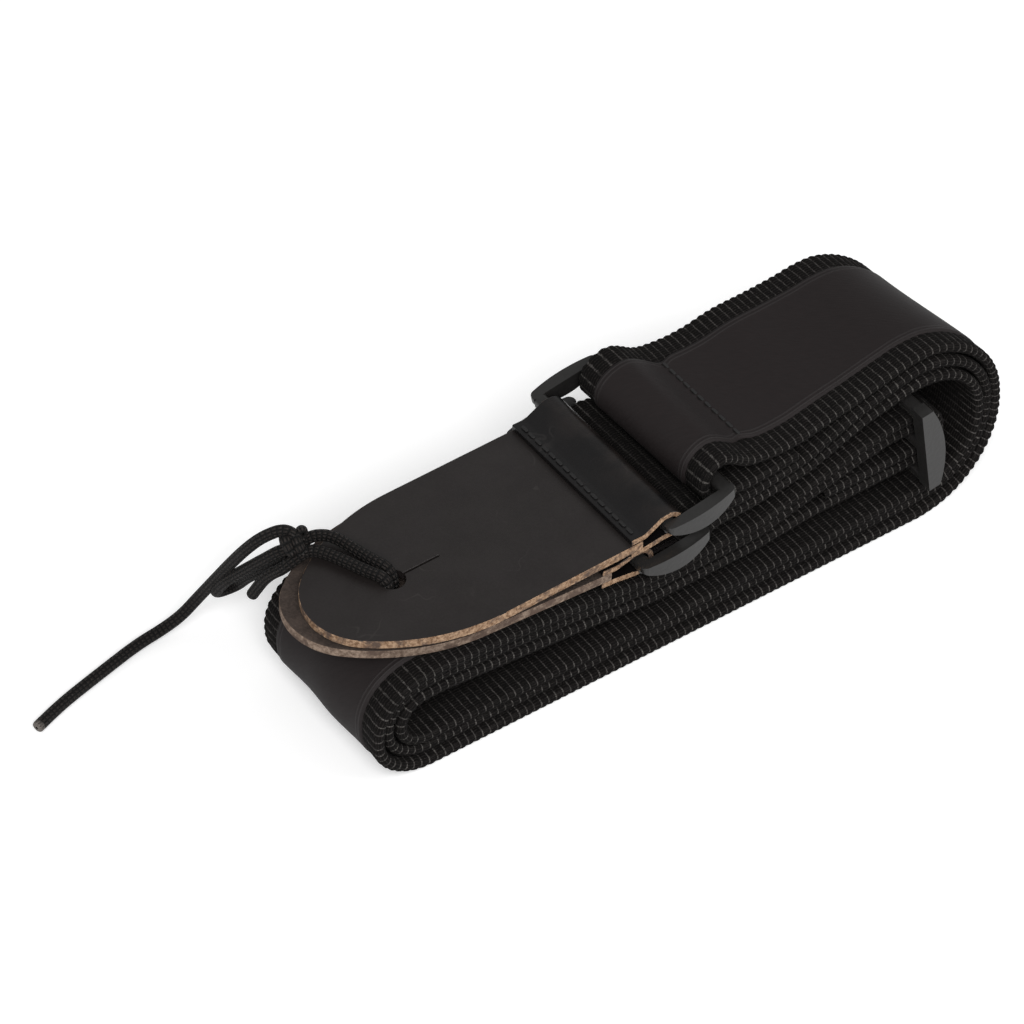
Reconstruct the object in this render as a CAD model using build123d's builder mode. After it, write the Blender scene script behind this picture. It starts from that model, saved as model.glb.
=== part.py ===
"""Instrument shoulder strap, folded in half and rolled into a flat bundle.

The webbing is one long tape. Its sewn eye hangs on the upper loop. From there the tape runs along the
top, round the outer right fold, along the bottom, round the outer left fold and back to the slider, whose
middle bar it goes round. The rest of the tape follows the same way back inside the first, is turned round
the lower loop, and comes back a third time to the slider, where its end is sewn round the middle bar.

Each end of the strap is a leather tab, held by a folded leather band to a loop. The lower end lies
flipped over under the upper one. Millimetres, +Z up, +X along the bundle from the tabs to the slider.
"""
from build123d import *
import os
from math import atan2, cos, degrees, radians, sin, sqrt, tan

os.makedirs("parts", exist_ok=True)

# ---- webbing tape
webbing_width = 50.0
webbing_thickness = 3.0
layer_gap = 0.3
coil_length = 188.5
left_fold_height = 30.0
core_gap = 3.6
hem_length = 24.0
slider_hem_length = 29.0

# ---- the way of the tape: how far its runs and bends reach
eye_run = 9.0
eye_run_bend = 20.0
eye_mouth_bend = 8.0
rise_foot = 3.0
rise_step = 10.0
rise_bend = 25.0
right_crest_run = 3.0
right_crest_bend = 15.0
left_crest_bend = 30.0
flat_bend = 40.0
slot_run = 9.0
climb_run = 40.5
climb_bend = 20.0

# ---- satin ribbon, sewn into a shallow seat along the outer face
ribbon_width = 36.0
ribbon_thickness = 0.4
ribbon_seat = 0.5
ribbon_side_gap = 0.2

# ---- leather
tab_width = 50.0
tab_thickness = 2.4
tab_length = 77.5
lower_tab_length = 73.9
upper_tab_yaw = 1.2
lower_tab_yaw = 0.0
upper_tab_aside = -0.6
lower_tab_aside = 0.9
upper_bar_lift = 2.0
lower_bar_lift = 0.7
nose_radius = 17.0
shoulder_radius = 50.0
button_hole_radius = 3.3
button_hole_from_nose = 23.2
slit_length = 10.3
slit_width = 0.5
band_width = tab_width
band_thickness = 1.6
band_overlap = 2.8
band_throat = 4.3
leather_gap = 0.3
nose_gap = 0.6

# ---- plastic loops
loop_pitch = 16.6
loop_aside = 1.0
bars_apart = 9.3
bar_size = 3.6
bar_round = 1.2
bar_clearance = 0.35
rail_width = 3.4
rail_bow = 1.2
rail_belly = 1.5
rail_corner = 1.9
rail_clearance = 2.0

# ---- slider
slider_bar = 3.4
slot_room = 1.4
fold_room = 3.8
slider_rail_width = 4.0
slider_rail_depth = 3.4
slider_bow = 2.6
slider_clearance = 1.0
slider_tilt = 9.0

# ---- stitches
stitch_length = 2.3
stitch_width = 0.9
stitch_height = 0.4
stitch_pitch = 2.9
stitch_from_edge = 1.6
eye_stitch_run = 14.0

# ---- lace
lace_diameter = 3.0
knot_length = 8.4
knot_width = 7.2

# ---- places along the bundle, counted back from its right end
upper_eye_back = 87.2
lower_eye_back = 94.4
flat_end_back = 107.0

# ---- places that follow from the sizes
pitch = webbing_thickness + layer_gap
half_tape = webbing_thickness / 2
bar_reach = sqrt(2) * (bar_size / 2 - bar_round) + bar_round
eye_inner = bar_reach + bar_clearance
eye_radius = eye_inner + half_tape
eye_outer = eye_inner + webbing_thickness
band_radius = eye_inner + band_thickness / 2
band_outer = eye_inner + band_thickness

tab_end = band_outer + band_throat
stitch_line = tab_end + band_overlap - stitch_from_edge
upper_reach = tab_length + stitch_line
lower_reach = lower_tab_length + stitch_line

turn_radius = eye_radius + pitch
slider_height = 2 * (turn_radius + half_tape + slot_room + slider_bar)
right_fold_height = slider_height + 2 * (webbing_thickness + 2 * pitch) + fold_room

coil_right = (lower_eye_back + 0.99 * loop_pitch + lower_reach) / 2
coil_left = coil_right - coil_length

left_fold_x = coil_left + left_fold_height / 2
right_fold_x = coil_right - right_fold_height / 2
right_fold_z = right_fold_height / 2

slider_x = right_fold_x - 1.5
slider_z = right_fold_z - 0.7

lower_eye_x = coil_right - lower_eye_back
upper_eye_x = coil_right - upper_eye_back
eye_lift = 2.5
upper_eye_lift = 3.5
lower_mouth_run = 7.0

bottom_z = [half_tape, half_tape + pitch, half_tape + 2 * pitch]
middle_b = bottom_z[2] + webbing_thickness + core_gap
middle_z = [middle_b + 2 * pitch, middle_b + pitch, middle_b]
middle_top = middle_z[0] + half_tape
lower_eye_z = middle_top + eye_lift + eye_outer
top_b = lower_eye_z - pitch / 2
top_a = top_b + pitch
top_hem = top_a + pitch
top_main = top_hem + pitch
upper_eye_z = top_hem + pitch / 2 + upper_eye_lift


def side_plane(x, z, angle=0.0, aside=0.0):
    """Plane across the strap at (x, z): local x runs along it, tilted up by the angle; local y is up."""
    return Plane(
        origin=(x, aside, z),
        x_dir=(cos(radians(angle)), 0, sin(radians(angle))),
        z_dir=(0, -1, 0),
    )


def top_plane(x, z, angle=0.0, yaw=0.0, aside=0.0):
    """Plane along the strap at (x, z), tilted up towards +X and turned in itself by the yaw."""
    along = cos(radians(yaw))
    return Plane(
        origin=(x, aside, z),
        x_dir=(cos(radians(angle)) * along, sin(radians(yaw)), sin(radians(angle)) * along),
        z_dir=(-sin(radians(angle)), 0, cos(radians(angle))),
    )


# ---- route of the tape's middle line in the side view, as (x, z, radius of the bend there)
def right_fold(depth):
    """Crest and corners of the right fold, from the top down, for the layer this deep in the coil."""
    r = right_fold_height / 2 - half_tape - depth * pitch
    return [
        (right_fold_x - right_crest_run, right_fold_z + r - 0.02, right_crest_bend),
        (right_fold_x + r, right_fold_z + r, 0.98 * r),
        (right_fold_x + r, right_fold_z - r, 0.98 * r),
    ]


def left_fold(depth):
    """Corners of the left fold, from the bottom up, and the crest where the run to the right begins."""
    r = left_fold_height / 2 - half_tape - depth * pitch
    z = left_fold_height / 2
    return [
        (left_fold_x - r, z - r, 0.98 * r),
        (left_fold_x - r, z + r + 0.05, 0.98 * r),
        (left_fold_x + left_fold_height / 6, z + r, left_crest_bend),
    ]


# how far along its rise from the eye to the right fold the top run has come
crest_z = right_fold_height - half_tape
rise = crest_z - top_main
hem_end_x = upper_eye_x + hem_length
rise_at = [
    (hem_end_x + rise_foot, 0.22),
    (right_fold_x - 2 * rise_step, 0.55),
    (right_fold_x - rise_step, 0.83),
]
hem_share = rise_at[0][1] * (hem_length - eye_run) / (hem_length + rise_foot - eye_run)

# the inner end of the middle run climbs to the slider's slots
slot_x = slider_x - slot_run
climb_end = slider_z + turn_radius
climb = climb_end - middle_z[0]
climb_at = [
    (slot_x - climb_run, 0.03),
    (slot_x - 0.63 * climb_run, 0.42),
    (slot_x - 0.235 * climb_run, 0.84),
]
flat_x = coil_right - flat_end_back
slider_hem_x = slider_x - slider_hem_length

main_route = [
    (hem_end_x, top_hem + hem_share * rise, 0),
    (upper_eye_x + eye_run, top_hem, eye_run_bend),
    (upper_eye_x - eye_radius, upper_eye_z - eye_radius, 0.98 * eye_radius),
    (upper_eye_x - eye_radius, upper_eye_z + eye_radius, 0.98 * eye_radius),
    (upper_eye_x + 1.5, upper_eye_z + eye_radius, eye_radius - 0.4),
    (upper_eye_x + eye_run, top_main, eye_mouth_bend),
]
main_route += [(x, top_main + share * rise, rise_bend) for x, share in rise_at]
main_route += right_fold(0)
main_route += left_fold(0)
main_route += [(flat_x, middle_z[0], flat_bend)]
main_route += [(x, middle_z[0] + share * climb, climb_bend) for x, share in climb_at]
main_route += [
    (slot_x, climb_end, climb_bend),
    (slider_x + turn_radius, climb_end + 0.02, 0.98 * turn_radius),
    (slider_x + turn_radius, slider_z - turn_radius, 0.98 * turn_radius),
]

def beside(route, offset):
    """The route moved to the left of its way by the offset, with each bend tighter or wider by as much."""
    points = [Vector(x, z) for x, z, r in route]
    ways = [(b - a).normalized() for a, b in zip(points, points[1:])]
    ways = [ways[0]] + ways + [ways[-1]]
    moved = []
    for point, way_in, way_out, (x, z, r) in zip(points, ways, ways[1:], route):
        left_in = Vector(-way_in.Y, way_in.X)
        left_out = Vector(-way_out.Y, way_out.X)
        corner = point + (left_in + left_out) * (offset / (1 + left_in.dot(left_out)))
        turn = way_in.X * way_out.Y - way_in.Y * way_out.X
        moved.append((corner.X, corner.Y, r - offset if turn > 0 else r + offset))
    return moved


# the layer inside the main one keeps beside it from the foot of the rise to the slider's upper slot
inner_foot = [
    (upper_eye_x + eye_run, top_a - 0.02, eye_run_bend),
    (rise_at[0][0], top_a + rise_at[0][1] * rise, eye_run_bend),
]
inner_route = inner_foot + beside(main_route[7:20], -pitch)
innermost_route = beside(inner_route[:12], -pitch)[:11]
second_route = [
    (slider_hem_x - rise_foot, slider_z - turn_radius - 0.3, rise_bend),
    (climb_at[0][0], middle_z[2] + 0.2, flat_bend),
]
second_route += innermost_route[:0:-1]
second_route += [
    (upper_eye_x + eye_run, top_b, eye_run_bend),
    (lower_eye_x + lower_mouth_run, top_b - 0.1, eye_mouth_bend),
    (lower_eye_x + 1.5, lower_eye_z - eye_radius, 8.0),
    (lower_eye_x - eye_radius, lower_eye_z - eye_radius, 0.98 * eye_radius),
]
third_route = [
    (lower_eye_x - eye_radius, lower_eye_z + eye_radius, 0.98 * eye_radius),
    (lower_eye_x + 1.2, lower_eye_z + eye_radius, 5.0),
    (lower_eye_x + lower_mouth_run - 0.2, top_a, 6.5),
]
third_route += inner_route
third_route += [
    (slider_x + eye_radius, slider_z + eye_radius + 0.02, 0.98 * eye_radius),
    (slider_x + eye_radius, slider_z - eye_radius, 0.98 * eye_radius),
    (slider_hem_x, slider_z - eye_radius - 0.1, 0),
]
tape_route = main_route + second_route + third_route


def strip_outline(route, left, right):
    """Closed outline of a strip that follows the route between two sideways offsets."""
    outline = beside(route, left) + beside(route, right)[::-1]
    radii = [r for x, z, r in outline]
    for end in (0, len(route) - 1, len(route), 2 * len(route) - 1):
        radii[end] = 0
    return FilletPolyline(*[(x, z) for x, z, r in outline], radius=radii, close=True)


# ---- webbing: one tape, drawn in lengths that meet end to end on straight runs, with a seat for the ribbon
def between(start, end, share):
    """Free end of a strip, this share of the way from one corner of the route to the next."""
    return start[0] + share * (end[0] - start[0]), start[1] + share * (end[1] - start[1]), 0


ribbon_start = between(main_route[4], main_route[5], 0.4)
ribbon_end = between(main_route[16], main_route[17], 0.93)
ribbon_route = [ribbon_start] + main_route[5:17] + [ribbon_end]

# where each length but the last ends: after which corner of the route, and how far on towards the next
length_ends = [(11, 0.19), (14, 0.95), (23, 0.5), (27, 0.83), (33, 0.5), (41, 0.5), (47, 0.18), (50, 0.95)]
corner_after = [0] + [corner + 1 for corner, share in length_ends] + [len(tape_route)]
cuts = [between(tape_route[corner], tape_route[corner + 1], share) for corner, share in length_ends]
lengths = []
for i in range(len(length_ends) + 1):
    route = tape_route[corner_after[i] : corner_after[i + 1]]
    if i > 0:
        route = [cuts[i - 1]] + route
    if i < len(cuts):
        route = route + [cuts[i]]
    with BuildPart() as length:
        with BuildSketch(Plane.XZ):
            with BuildLine():
                strip_outline(route, half_tape, -half_tape)
            make_face()
        extrude(amount=webbing_width / 2, both=True)
        if i in (0, 1, 2):
            with BuildSketch(Plane.XZ):
                with BuildLine():
                    strip_outline(ribbon_route, half_tape + layer_gap, half_tape - ribbon_seat)
                make_face()
            extrude(amount=ribbon_width / 2 + ribbon_side_gap, both=True, mode=Mode.SUBTRACT)
    lengths += length.part.solids()
webbing_strap = Compound(lengths)
webbing_strap.label = "webbing_strap"
export_step(webbing_strap, "parts/webbing_strap.step")

with BuildPart() as satin_ribbon:
    with BuildSketch(Plane.XZ):
        with BuildLine():
            strip_outline(ribbon_route, half_tape - ribbon_seat + ribbon_thickness, half_tape - ribbon_seat)
        make_face()
    extrude(amount=ribbon_width / 2, both=True)
satin_ribbon.part.label = "satin_ribbon"
export_step(satin_ribbon.part, "parts/satin_ribbon.step")


# ---- stitches: a row of short threads across the strap, lying on a face
def stitch_places(width, pitch_across):
    """Places of the stitches of a row that keeps clear of both edges of a piece this wide."""
    count = int((width - 2 * stitch_from_edge - stitch_length) / pitch_across) + 1
    return GridLocations(1, pitch_across, 1, count)


eye_stitch_x = upper_eye_x + eye_stitch_run
stitched_run = main_route[6][0] - main_route[5][0]
stitched_rise = main_route[6][1] - main_route[5][1]
eye_stitch_slope = degrees(atan2(stitched_rise, stitched_run))
eye_stitch_z = main_route[5][1] + (eye_stitch_x - main_route[5][0]) * stitched_rise / stitched_run
eye_stitch_lift = half_tape - ribbon_seat + ribbon_thickness

with BuildPart() as eye_stitching:
    with BuildSketch(top_plane(eye_stitch_x, eye_stitch_z, eye_stitch_slope).offset(eye_stitch_lift)):
        with stitch_places(ribbon_width, stitch_pitch):
            SlotOverall(stitch_length, stitch_width, rotation=90)
    extrude(amount=stitch_height)
eye_stitching.part.label = "eye_stitching"
export_step(eye_stitching.part, "parts/eye_stitching.step")


# ---- leather ends: the band lies round the loop's bar, and the tab's end is stitched between its two leaves
leaf_offset = (tab_thickness + band_thickness) / 2


def leather_tab(plane, reach):
    """Tab with a rounded nose at this reach from the bar, a button hole, and a slit behind the hole."""
    tip = Vector(-reach, 0)
    hole_x = button_hole_from_nose - reach
    nose_centre = tip + Vector(nose_radius, 0)
    drop = shoulder_radius - tab_width / 2
    shoulder_x = nose_centre.X + sqrt((shoulder_radius - nose_radius) ** 2 - drop**2)
    shoulder_centre = Vector(shoulder_x, -drop)
    join = nose_centre + (nose_centre - shoulder_centre).normalized() * nose_radius
    with BuildPart() as tab:
        with BuildSketch(plane.offset(-tab_thickness / 2)):
            with BuildLine():
                far_side = Line((-tab_end, tab_width / 2), (shoulder_x, tab_width / 2))
                far_shoulder = TangentArc(far_side @ 1, join, tangent=far_side % 1)
                nose = TangentArc(far_shoulder @ 1, (join.X, -join.Y), tangent=far_shoulder % 1)
                near_shoulder = TangentArc(nose @ 1, (shoulder_x, -tab_width / 2), tangent=nose % 1)
                near_side = Line(near_shoulder @ 1, (-tab_end, -tab_width / 2))
                Line(near_side @ 1, far_side @ 0)
            make_face()
            with Locations((hole_x, 0)):
                Circle(button_hole_radius, mode=Mode.SUBTRACT)
            with Locations((hole_x + button_hole_radius + slit_length / 2 - 0.5, 0)):
                Rectangle(slit_length + 1.0, slit_width, mode=Mode.SUBTRACT)
        extrude(amount=tab_thickness)
    return tab.part


def leather_band(x, z, angle, bar_lift, aside):
    """Band folded round the bar at (x, z): an eye round it, and two leaves that hold the tab below it."""
    leaf_end = -tab_end - band_overlap
    spread = -tab_end + 1.2
    flare = -band_radius / 2
    fold = [
        (leaf_end, leaf_offset - bar_lift, 0),
        (spread, leaf_offset - bar_lift, 3.0),
        (flare, band_radius, 3.0),
        (band_radius, band_radius, 0.98 * band_radius),
        (band_radius, -band_radius, 0.98 * band_radius),
        (flare, -band_radius, 3.0),
        (spread, -leaf_offset - bar_lift, 3.0),
        (leaf_end, -leaf_offset - bar_lift, 0),
    ]
    with BuildPart() as band:
        with BuildSketch(side_plane(x, z, angle, aside)):
            with BuildLine():
                strip_outline(fold, band_thickness / 2, -band_thickness / 2)
            make_face()
        extrude(amount=band_width / 2, both=True)
    return band.part


def tab_stitches(plane):
    """Two rows of stitches, one on each leaf of the band, over the end of the tab."""
    with BuildPart() as stitches:
        for side in (1, -1):
            leaf_face = side * (leaf_offset + band_thickness / 2)
            with BuildSketch(plane.offset(leaf_face)):
                with Locations((-stitch_line, 0)):
                    with stitch_places(band_width, stitch_pitch):
                        SlotOverall(stitch_length, stitch_width, rotation=90)
            extrude(amount=side * stitch_height)
    return stitches.part


# ---- plastic loop: two round bars between two bowed rails
def at_bar(eye_x, eye_z, angle, back=loop_pitch):
    """Place this far back along a loop from its right bar at (eye_x, eye_z), by default its left bar."""
    return eye_x - back * cos(radians(angle)), eye_z - back * sin(radians(angle))


def rectangular_loop(x, z, angle):
    """Loop with its right bar at (x, z) in the tape's eye and its left bar one pitch away."""
    opening = webbing_width / 2 + rail_clearance
    plane = top_plane(x, z, angle, aside=loop_aside)
    half_length = (loop_pitch + bar_size) / 2
    middle = side_plane(*at_bar(x, z, angle, loop_pitch / 2), angle, loop_aside)
    with BuildPart() as loop:
        for side in (1, -1):
            edge = side * opening
            left_x = -loop_pitch / 2 - half_length
            right_x = -loop_pitch / 2 + half_length
            corner_y = edge + side * (rail_width - rail_bow)
            with BuildSketch(plane.offset(-bar_size)) as rail:
                with BuildLine():
                    Polyline((left_x, corner_y), (left_x, edge), (right_x, edge), (right_x, corner_y))
                    ThreePointArc(
                        (left_x, corner_y),
                        (-loop_pitch / 2, edge + side * rail_width),
                        (right_x, corner_y),
                    )
                make_face()
                fillet(rail.vertices().sort_by(Axis.Y)[::side][-2:], radius=rail_corner)
            extrude(amount=1.5 * bar_size)
        with BuildSketch(middle):
            with BuildLine():
                Polyline(
                    (-half_length, 0),
                    (-half_length, bar_size / 2),
                    (half_length, bar_size / 2),
                    (half_length, 0),
                )
                ThreePointArc((half_length, 0), (0, -bar_size / 2 - rail_belly), (-half_length, 0))
            make_face()
        extrude(amount=webbing_width, both=True, mode=Mode.INTERSECT)
        for along in (0, -loop_pitch):
            bar_x = x + along * cos(radians(angle))
            bar_z = z + along * sin(radians(angle))
            with BuildSketch(side_plane(bar_x, bar_z, angle, loop_aside)):
                RectangleRounded(bar_size, bar_size, bar_round)
            extrude(amount=opening, both=True)
    return loop.part


# ---- the two ends of the strap, the lower one first
def run_top(x):
    """Height of the upper face of the middle run between the left fold and the flat stretch."""
    crest = left_fold(0)[2]
    share = (x - crest[0]) / (flat_x - crest[0])
    return crest[1] + share * (middle_z[0] - crest[1]) + half_tape


lower_loop_dx = loop_pitch * 0.99
lower_bar_z = run_top(lower_eye_x - lower_loop_dx) + leather_gap + stitch_height + band_outer
lower_bar_z += lower_bar_lift
lower_loop_tilt = degrees(atan2(lower_eye_z - lower_bar_z, lower_loop_dx))
lower_bar = at_bar(lower_eye_x, lower_eye_z, lower_loop_tilt)
lower_crest_z = left_fold_height + leather_gap + tab_thickness / 2
lower_tab_tilt = degrees(atan2(lower_bar[1] - lower_bar_lift - lower_crest_z, lower_bar[0] - left_fold_x))

upper_nose_x = upper_eye_x - loop_pitch - upper_reach
lower_at_nose = lower_crest_z + (upper_nose_x - left_fold_x) * tan(radians(lower_tab_tilt))
upper_nose_z = lower_at_nose + tab_thickness + nose_gap
upper_bar_z = lower_bar[1] + bars_apart
upper_loop_tilt = degrees(atan2(upper_eye_z - upper_bar_z, loop_pitch * 0.99))
upper_bar = at_bar(upper_eye_x, upper_eye_z, upper_loop_tilt)
upper_tab_tilt = degrees(atan2(upper_bar[1] - upper_bar_lift - upper_nose_z, upper_bar[0] - upper_nose_x))

ends = {
    "lower": (lower_eye_x, lower_eye_z, lower_loop_tilt, lower_tab_tilt, lower_reach),
    "upper": (upper_eye_x, upper_eye_z, upper_loop_tilt, upper_tab_tilt, upper_reach),
}
settings = {
    "lower": (lower_bar_lift, lower_tab_yaw, lower_tab_aside),
    "upper": (upper_bar_lift, upper_tab_yaw, upper_tab_aside),
}
for name, (eye_x, eye_z, loop_tilt, tab_tilt, reach) in ends.items():
    bar_lift, yaw, aside = settings[name]
    bar = at_bar(eye_x, eye_z, loop_tilt)
    loop_part = rectangular_loop(eye_x, eye_z, loop_tilt)
    loop_part.label = name + "_loop"
    export_step(loop_part, "parts/" + name + "_loop.step")

    tab_part = leather_tab(top_plane(*bar, tab_tilt, yaw, aside).offset(-bar_lift), reach)
    tab_part.label = name + "_tab"
    export_step(tab_part, "parts/" + name + "_tab.step")

    band_part = leather_band(*bar, tab_tilt, bar_lift, aside)
    band_part.label = name + "_band"
    export_step(band_part, "parts/" + name + "_band.step")

    stitch_part = tab_stitches(top_plane(*bar, tab_tilt, 0.0, aside).offset(-bar_lift))
    stitch_part.label = name + "_tab_stitching"
    export_step(stitch_part, "parts/" + name + "_tab_stitching.step")


# ---- slider: three round bars between two bowed rails, standing in the right fold
slider_plane = side_plane(slider_x, slider_z, slider_tilt)
slider_opening = webbing_width / 2 + slider_clearance
outer_bar_at = (slider_height - slider_bar) / 2
with BuildPart() as slider:
    for rail_start in (slider_opening, -slider_opening - slider_rail_width):
        with BuildSketch(slider_plane.offset(rail_start)):
            with BuildLine():
                back = Line(
                    (-slider_rail_depth / 2, -slider_height / 2),
                    (-slider_rail_depth / 2, slider_height / 2),
                )
                head = Line(back @ 1, back @ 1 + Vector(slider_rail_depth, 0))
                foot = Line(back @ 0, back @ 0 + Vector(slider_rail_depth, 0))
                ThreePointArc(head @ 1, (slider_rail_depth / 2 + slider_bow, 0), foot @ 1)
            make_face()
        extrude(amount=slider_rail_width)
    with BuildSketch(slider_plane):
        with Locations((0, outer_bar_at), (0, 0), (0, -outer_bar_at)):
            RectangleRounded(slider_bar, slider_bar, bar_round)
    extrude(amount=slider_opening, both=True)
slider.part.label = "slider"
export_step(slider.part, "parts/slider.step")


# ---- lace, tied through the upper tab's hole: two strands to the knot, a bow, a tail and a short end
far_strand_points = [
    (-69.2, -0.9, 33.0),
    (-69.4, -0.7, 38.6),
    (-72.4, 5.1, 38.6),
    (-73.6, 11.2, 38.8),
    (-75.0, 16.2, 39.5),
    (-78.6, 18.9, 39.4),
    (-81.6, 19.3, 38.5),
]
near_strand_points = [
    (-71.8, -2.7, 33.0),
    (-71.9, -2.8, 38.6),
    (-75.9, 1.2, 38.5),
    (-77.0, 7.0, 38.5),
    (-78.8, 12.6, 38.5),
    (-81.5, 16.2, 38.5),
]
bow_points = [
    (-84.9, 18.8, 38.7),
    (-87.1, 20.3, 38.0),
    (-89.5, 23.1, 34.5),
    (-91.6, 26.8, 30.0),
    (-93.6, 30.7, 25.2),
    (-95.4, 33.6, 21.5),
    (-96.4, 37.9, 14.4),
    (-89.5, 38.1, 13.1),
    (-88.7, 34.1, 18.8),
    (-88.3, 29.4, 23.8),
    (-86.6, 24.4, 30.0),
    (-84.5, 20.6, 34.6),
]
tail_points = [
    (-83.2, 19.3, 41.3),
    (-84.8, 22.2, 42.3),
    (-89.1, 24.8, 40.0),
    (-92.1, 27.6, 35.6),
    (-94.4, 32.4, 28.6),
    (-96.5, 38.5, 19.9),
    (-98.6, 42.2, 13.2),
    (-101.4, 43.2, 8.4),
    (-107.2, 45.7, 3.0),
    (-114.4, 44.8, 1.6),
    (-126.0, 41.8, 1.6),
    (-138.0, 38.6, 1.6),
    (-144.7, 36.2, 1.6),
    (-148.7, 34.6, 1.6),
]
short_end_points = [
    (-85.5, 17.0, 36.6),
    (-87.9, 18.5, 33.6),
    (-89.6, 21.5, 30.5),
    (-91.2, 23.7, 26.5),
    (-92.7, 25.6, 21.7),
]


def lace(points):
    """Round lace along a route chosen by hand, with every bend as wide as its runs allow."""
    stops = [Vector(*point) for point in points]
    ways = [b - a for a, b in zip(stops, stops[1:])]
    bends = [
        0.45 * min(way_in.length, way_out.length) / tan(radians(way_in.get_angle(way_out) / 2))
        for way_in, way_out in zip(ways, ways[1:])
    ]
    with BuildPart() as cord:
        with BuildLine() as route:
            FilletPolyline(*stops, radius=bends)
        with BuildSketch(Plane(origin=stops[0], z_dir=ways[0])):
            Circle(lace_diameter / 2)
        sweep(path=route.wires()[0])
    print("bends", [round(bend, 1) for bend in bends], "length", round(route.wires()[0].length, 1))
    return cord.part


lace_pieces = {
    "lace_far_strand": far_strand_points,
    "lace_near_strand": near_strand_points,
    "lace_bow": bow_points,
    "lace_tail": tail_points,
    "lace_short_end": short_end_points,
}
for name, points in lace_pieces.items():
    lace_part = lace(points)
    lace_part.label = name
    export_step(lace_part, "parts/" + name + ".step")

knot_plane = Plane(
    origin=(-83.7, 19.4, 38.8),
    x_dir=(-0.86, 0.42, -0.28),
    z_dir=(-0.28, 0.05, 0.96),
)
wrap_radius = (knot_width - lace_diameter) / 2
wrap_reach = (knot_length - lace_diameter) / 2
with BuildPart(knot_plane) as lace_knot:
    Sphere(wrap_radius + 0.9)
    with Locations((-wrap_reach, 0, 0), (wrap_reach, 0, 0)):
        Torus(wrap_radius, lace_diameter / 2, rotation=(0, 90, 0))
    Torus(wrap_radius + 0.2, lace_diameter / 2 + 0.1, rotation=(0, 90, 0))
lace_knot.part.label = "lace_knot"
export_step(lace_knot.part, "parts/lace_knot.step")
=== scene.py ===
from math import cos, pi, radians, sin

import bmesh
import bpy
import numpy as np
from mathutils import Matrix, Vector


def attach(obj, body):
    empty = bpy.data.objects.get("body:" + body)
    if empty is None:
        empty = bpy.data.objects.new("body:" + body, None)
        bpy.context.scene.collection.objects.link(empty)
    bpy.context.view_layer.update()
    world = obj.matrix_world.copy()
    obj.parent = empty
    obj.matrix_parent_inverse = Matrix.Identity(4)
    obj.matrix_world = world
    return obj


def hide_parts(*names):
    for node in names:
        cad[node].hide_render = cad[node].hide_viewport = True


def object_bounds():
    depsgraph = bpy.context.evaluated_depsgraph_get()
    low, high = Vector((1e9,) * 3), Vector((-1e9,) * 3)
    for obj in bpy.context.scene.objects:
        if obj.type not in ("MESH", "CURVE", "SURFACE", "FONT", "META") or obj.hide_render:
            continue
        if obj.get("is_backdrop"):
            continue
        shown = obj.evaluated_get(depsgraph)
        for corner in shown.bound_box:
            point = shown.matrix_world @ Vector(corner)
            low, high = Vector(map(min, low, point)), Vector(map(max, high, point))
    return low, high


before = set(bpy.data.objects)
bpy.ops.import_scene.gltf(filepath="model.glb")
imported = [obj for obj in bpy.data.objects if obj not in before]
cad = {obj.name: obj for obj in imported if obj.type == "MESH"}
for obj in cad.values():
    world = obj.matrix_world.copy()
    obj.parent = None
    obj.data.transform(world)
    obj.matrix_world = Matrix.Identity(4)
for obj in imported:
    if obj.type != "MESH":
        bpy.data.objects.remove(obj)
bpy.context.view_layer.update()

scene = bpy.context.scene


# ---- Camera, floor and light. The camera looks down on the bundle from its front left, on a pale floor.
# Two large soft lamps light it from the front. The white sky lights the object dimly, so that its upper faces
# stay dark, but the camera sees it bright.
scene.view_settings.view_transform = "Standard"
turn, tilt, distance = radians(-34.9), radians(44.12), 1.1543
aim = Vector((-0.0279, 0.003, 0.020))
back = Vector((sin(turn) * cos(tilt), -cos(turn) * cos(tilt), sin(tilt)))
camera = bpy.data.objects.new("camera", bpy.data.cameras.new("camera"))
camera.location = aim + distance * back
camera.rotation_mode = "QUATERNION"
camera.rotation_quaternion = (-back).to_track_quat("-Z", "Y")
camera.data.sensor_width = 36.0
camera.data.lens = 167.2
camera.data.shift_x = -0.0148
camera.data.shift_y = 0.0340
camera.data.clip_start = 0.05
scene.collection.objects.link(camera)
scene.camera = camera

world = bpy.data.worlds.new("studio")
world.use_nodes = True
sky, join = world.node_tree.nodes, world.node_tree.links
sky["Background"].inputs["Color"].default_value = (1.0, 1.0, 1.0, 1.0)
sky_as_light, sky_as_seen = 0.40, 1.0
ray = sky.new("ShaderNodeLightPath")
strength = sky.new("ShaderNodeMapRange")
strength.inputs["To Min"].default_value = sky_as_light
strength.inputs["To Max"].default_value = sky_as_seen
join.new(ray.outputs["Is Camera Ray"], strength.inputs["Value"])
join.new(strength.outputs["Result"], sky["Background"].inputs["Strength"])
scene.world = world

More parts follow.
